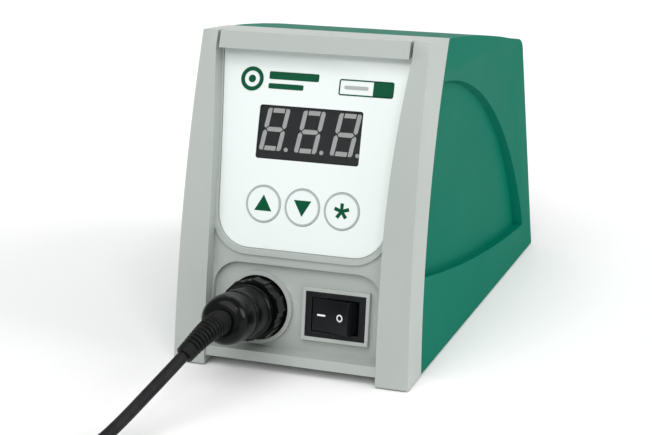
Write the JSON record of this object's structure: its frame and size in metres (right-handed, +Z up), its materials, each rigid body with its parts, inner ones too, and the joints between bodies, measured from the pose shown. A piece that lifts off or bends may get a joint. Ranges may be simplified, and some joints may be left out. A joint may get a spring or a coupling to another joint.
{
  "type": "soldering iron station",
  "caption": "Bench soldering station: wedge-shaped housing with display, push buttons, rocker switch, bayonet-plugged lead and soldering iron.",
  "frame": {"origin": "on the floor, at the middle of the bench unit's width and depth", "axes": "+Z up; -Y is the way the panel faces; +X is to the right of someone facing the panel"},
  "size_m": [0.1025, 0.4478, 0.109],
  "materials": {
    "grey_plastic": "fine moulded texture",
    "green_plastic": "fine moulded texture",
    "zinc_steel": "zinc plated",
    "black_rubber": "matte",
    "silicone_lead": "matte",
    "tie_strap": "matte",
    "label_film": "glossy film",
    "smoked_window": "smoked, glossy",
    "display_black": "matte",
    "display_segment": "diffusing",
    "circuit_board": "solder mask",
    "nylon_natural": "natural nylon",
    "switch_black": "satin",
    "contact_silver": "plated",
    "connector_black": "glossy",
    "connector_insert": "matte",
    "gold_brass": "gold plated",
    "iron_handle_plastic": "satin",
    "iron_grip_foam": "soft foam",
    "stainless": "brushed",
    "heater_white": "unglazed ceramic",
    "tip_plating": "iron plated",
    "core_steel": "varnished laminations",
    "copper_winding": "taped winding",
    "capacitor_sleeve": "printed sleeve",
    "heat_sink_alloy": "anodised",
    "terminal_green": "moulded",
    "fuse_glass": "clear"
  },
  "bodies": {
    "station": {"front_frame": "grey_plastic", "rear_cover": "green_plastic", "base_plate": "zinc_steel", "rubber_feet": "black_rubber", "foot_screws": "zinc_steel", "frame_screws": "zinc_steel", "panel_label": "label_film", "display_lens": "smoked_window", "display_module": "display_black", "display_segments": "display_segment", "control_board": "circuit_board", "board_clips": "nylon_natural", "key_switches": "switch_black", "switch_housing": "switch_black", "switch_blades": "contact_silver", "socket_shell": "connector_black", "socket_insert": "connector_insert", "socket_pins": "gold_brass", "socket_nut": "zinc_steel", "plug_shell": "connector_black", "plug_insert": "connector_insert", "plug_boot": "black_rubber", "lead_tube": "silicone_lead", "lead_coil": "silicone_lead", "lead_tail": "silicone_lead", "lead_tie": "tie_strap", "iron_boot": "black_rubber", "iron_handle": "iron_handle_plastic", "iron_grip": "iron_grip_foam", "iron_collar": "stainless", "iron_sleeve": "stainless", "iron_heater": "heater_white", "iron_tip": "tip_plating", "transformer_core": "core_steel", "transformer_winding": "copper_winding", "transformer_frame": "zinc_steel", "transformer_screws": "zinc_steel", "power_board": "circuit_board", "board_posts": "nylon_natural", "power_capacitors": "capacitor_sleeve", "heat_sink": "heat_sink_alloy", "power_transistor": "switch_black", "terminal_block": "terminal_green", "mains_inlet": "switch_black", "inlet_pins": "contact_silver", "inlet_screws": "zinc_steel", "ground_jack": "gold_brass", "ground_nut": "zinc_steel", "socket_seal": "black_rubber"},
    "rocker": {"switch_rocker": "switch_black"},
    "up_button": {"button_up": "label_film"},
    "down_button": {"button_down": "label_film"},
    "set_button": {"button_set": "label_film"},
    "plug_ring": {"coupling_ring": "connector_black"},
    "drawer": {"fuse_drawer": "switch_black", "fuse": "fuse_glass"}
  },
  "joints": [
    {"name": "rocker_tilt", "type": "hinge", "parent": "station", "child": "rocker", "pos_m": [0.014, -0.06473, 0.01902], "axis": [0, 0.1876, 0.9823], "range_deg": [0, 24]},
    {"name": "up_press", "type": "slide", "parent": "station", "child": "up_button", "axis": [0, 0.9628, -0.2703], "range_m": [0, 0.0003], "stiffness_N_per_m": 900},
    {"name": "down_press", "type": "slide", "parent": "station", "child": "down_button", "axis": [0, 0.9628, -0.2703], "range_m": [0, 0.0003], "stiffness_N_per_m": 900},
    {"name": "set_press", "type": "slide", "parent": "station", "child": "set_button", "axis": [0, 0.9628, -0.2703], "range_m": [0, 0.0003], "stiffness_N_per_m": 900},
    {"name": "plug_ring_turn", "type": "hinge", "parent": "station", "child": "plug_ring", "pos_m": [-0.014, -0.06768, 0.01959], "axis": [0, -0.9823, 0.1876], "range_deg": [0, 35]},
    {"name": "fuse_drawer_slide", "type": "slide", "parent": "station", "child": "drawer", "axis": [0, 0.9903, 0.1392], "range_m": [0, 0.012]}
  ]
}
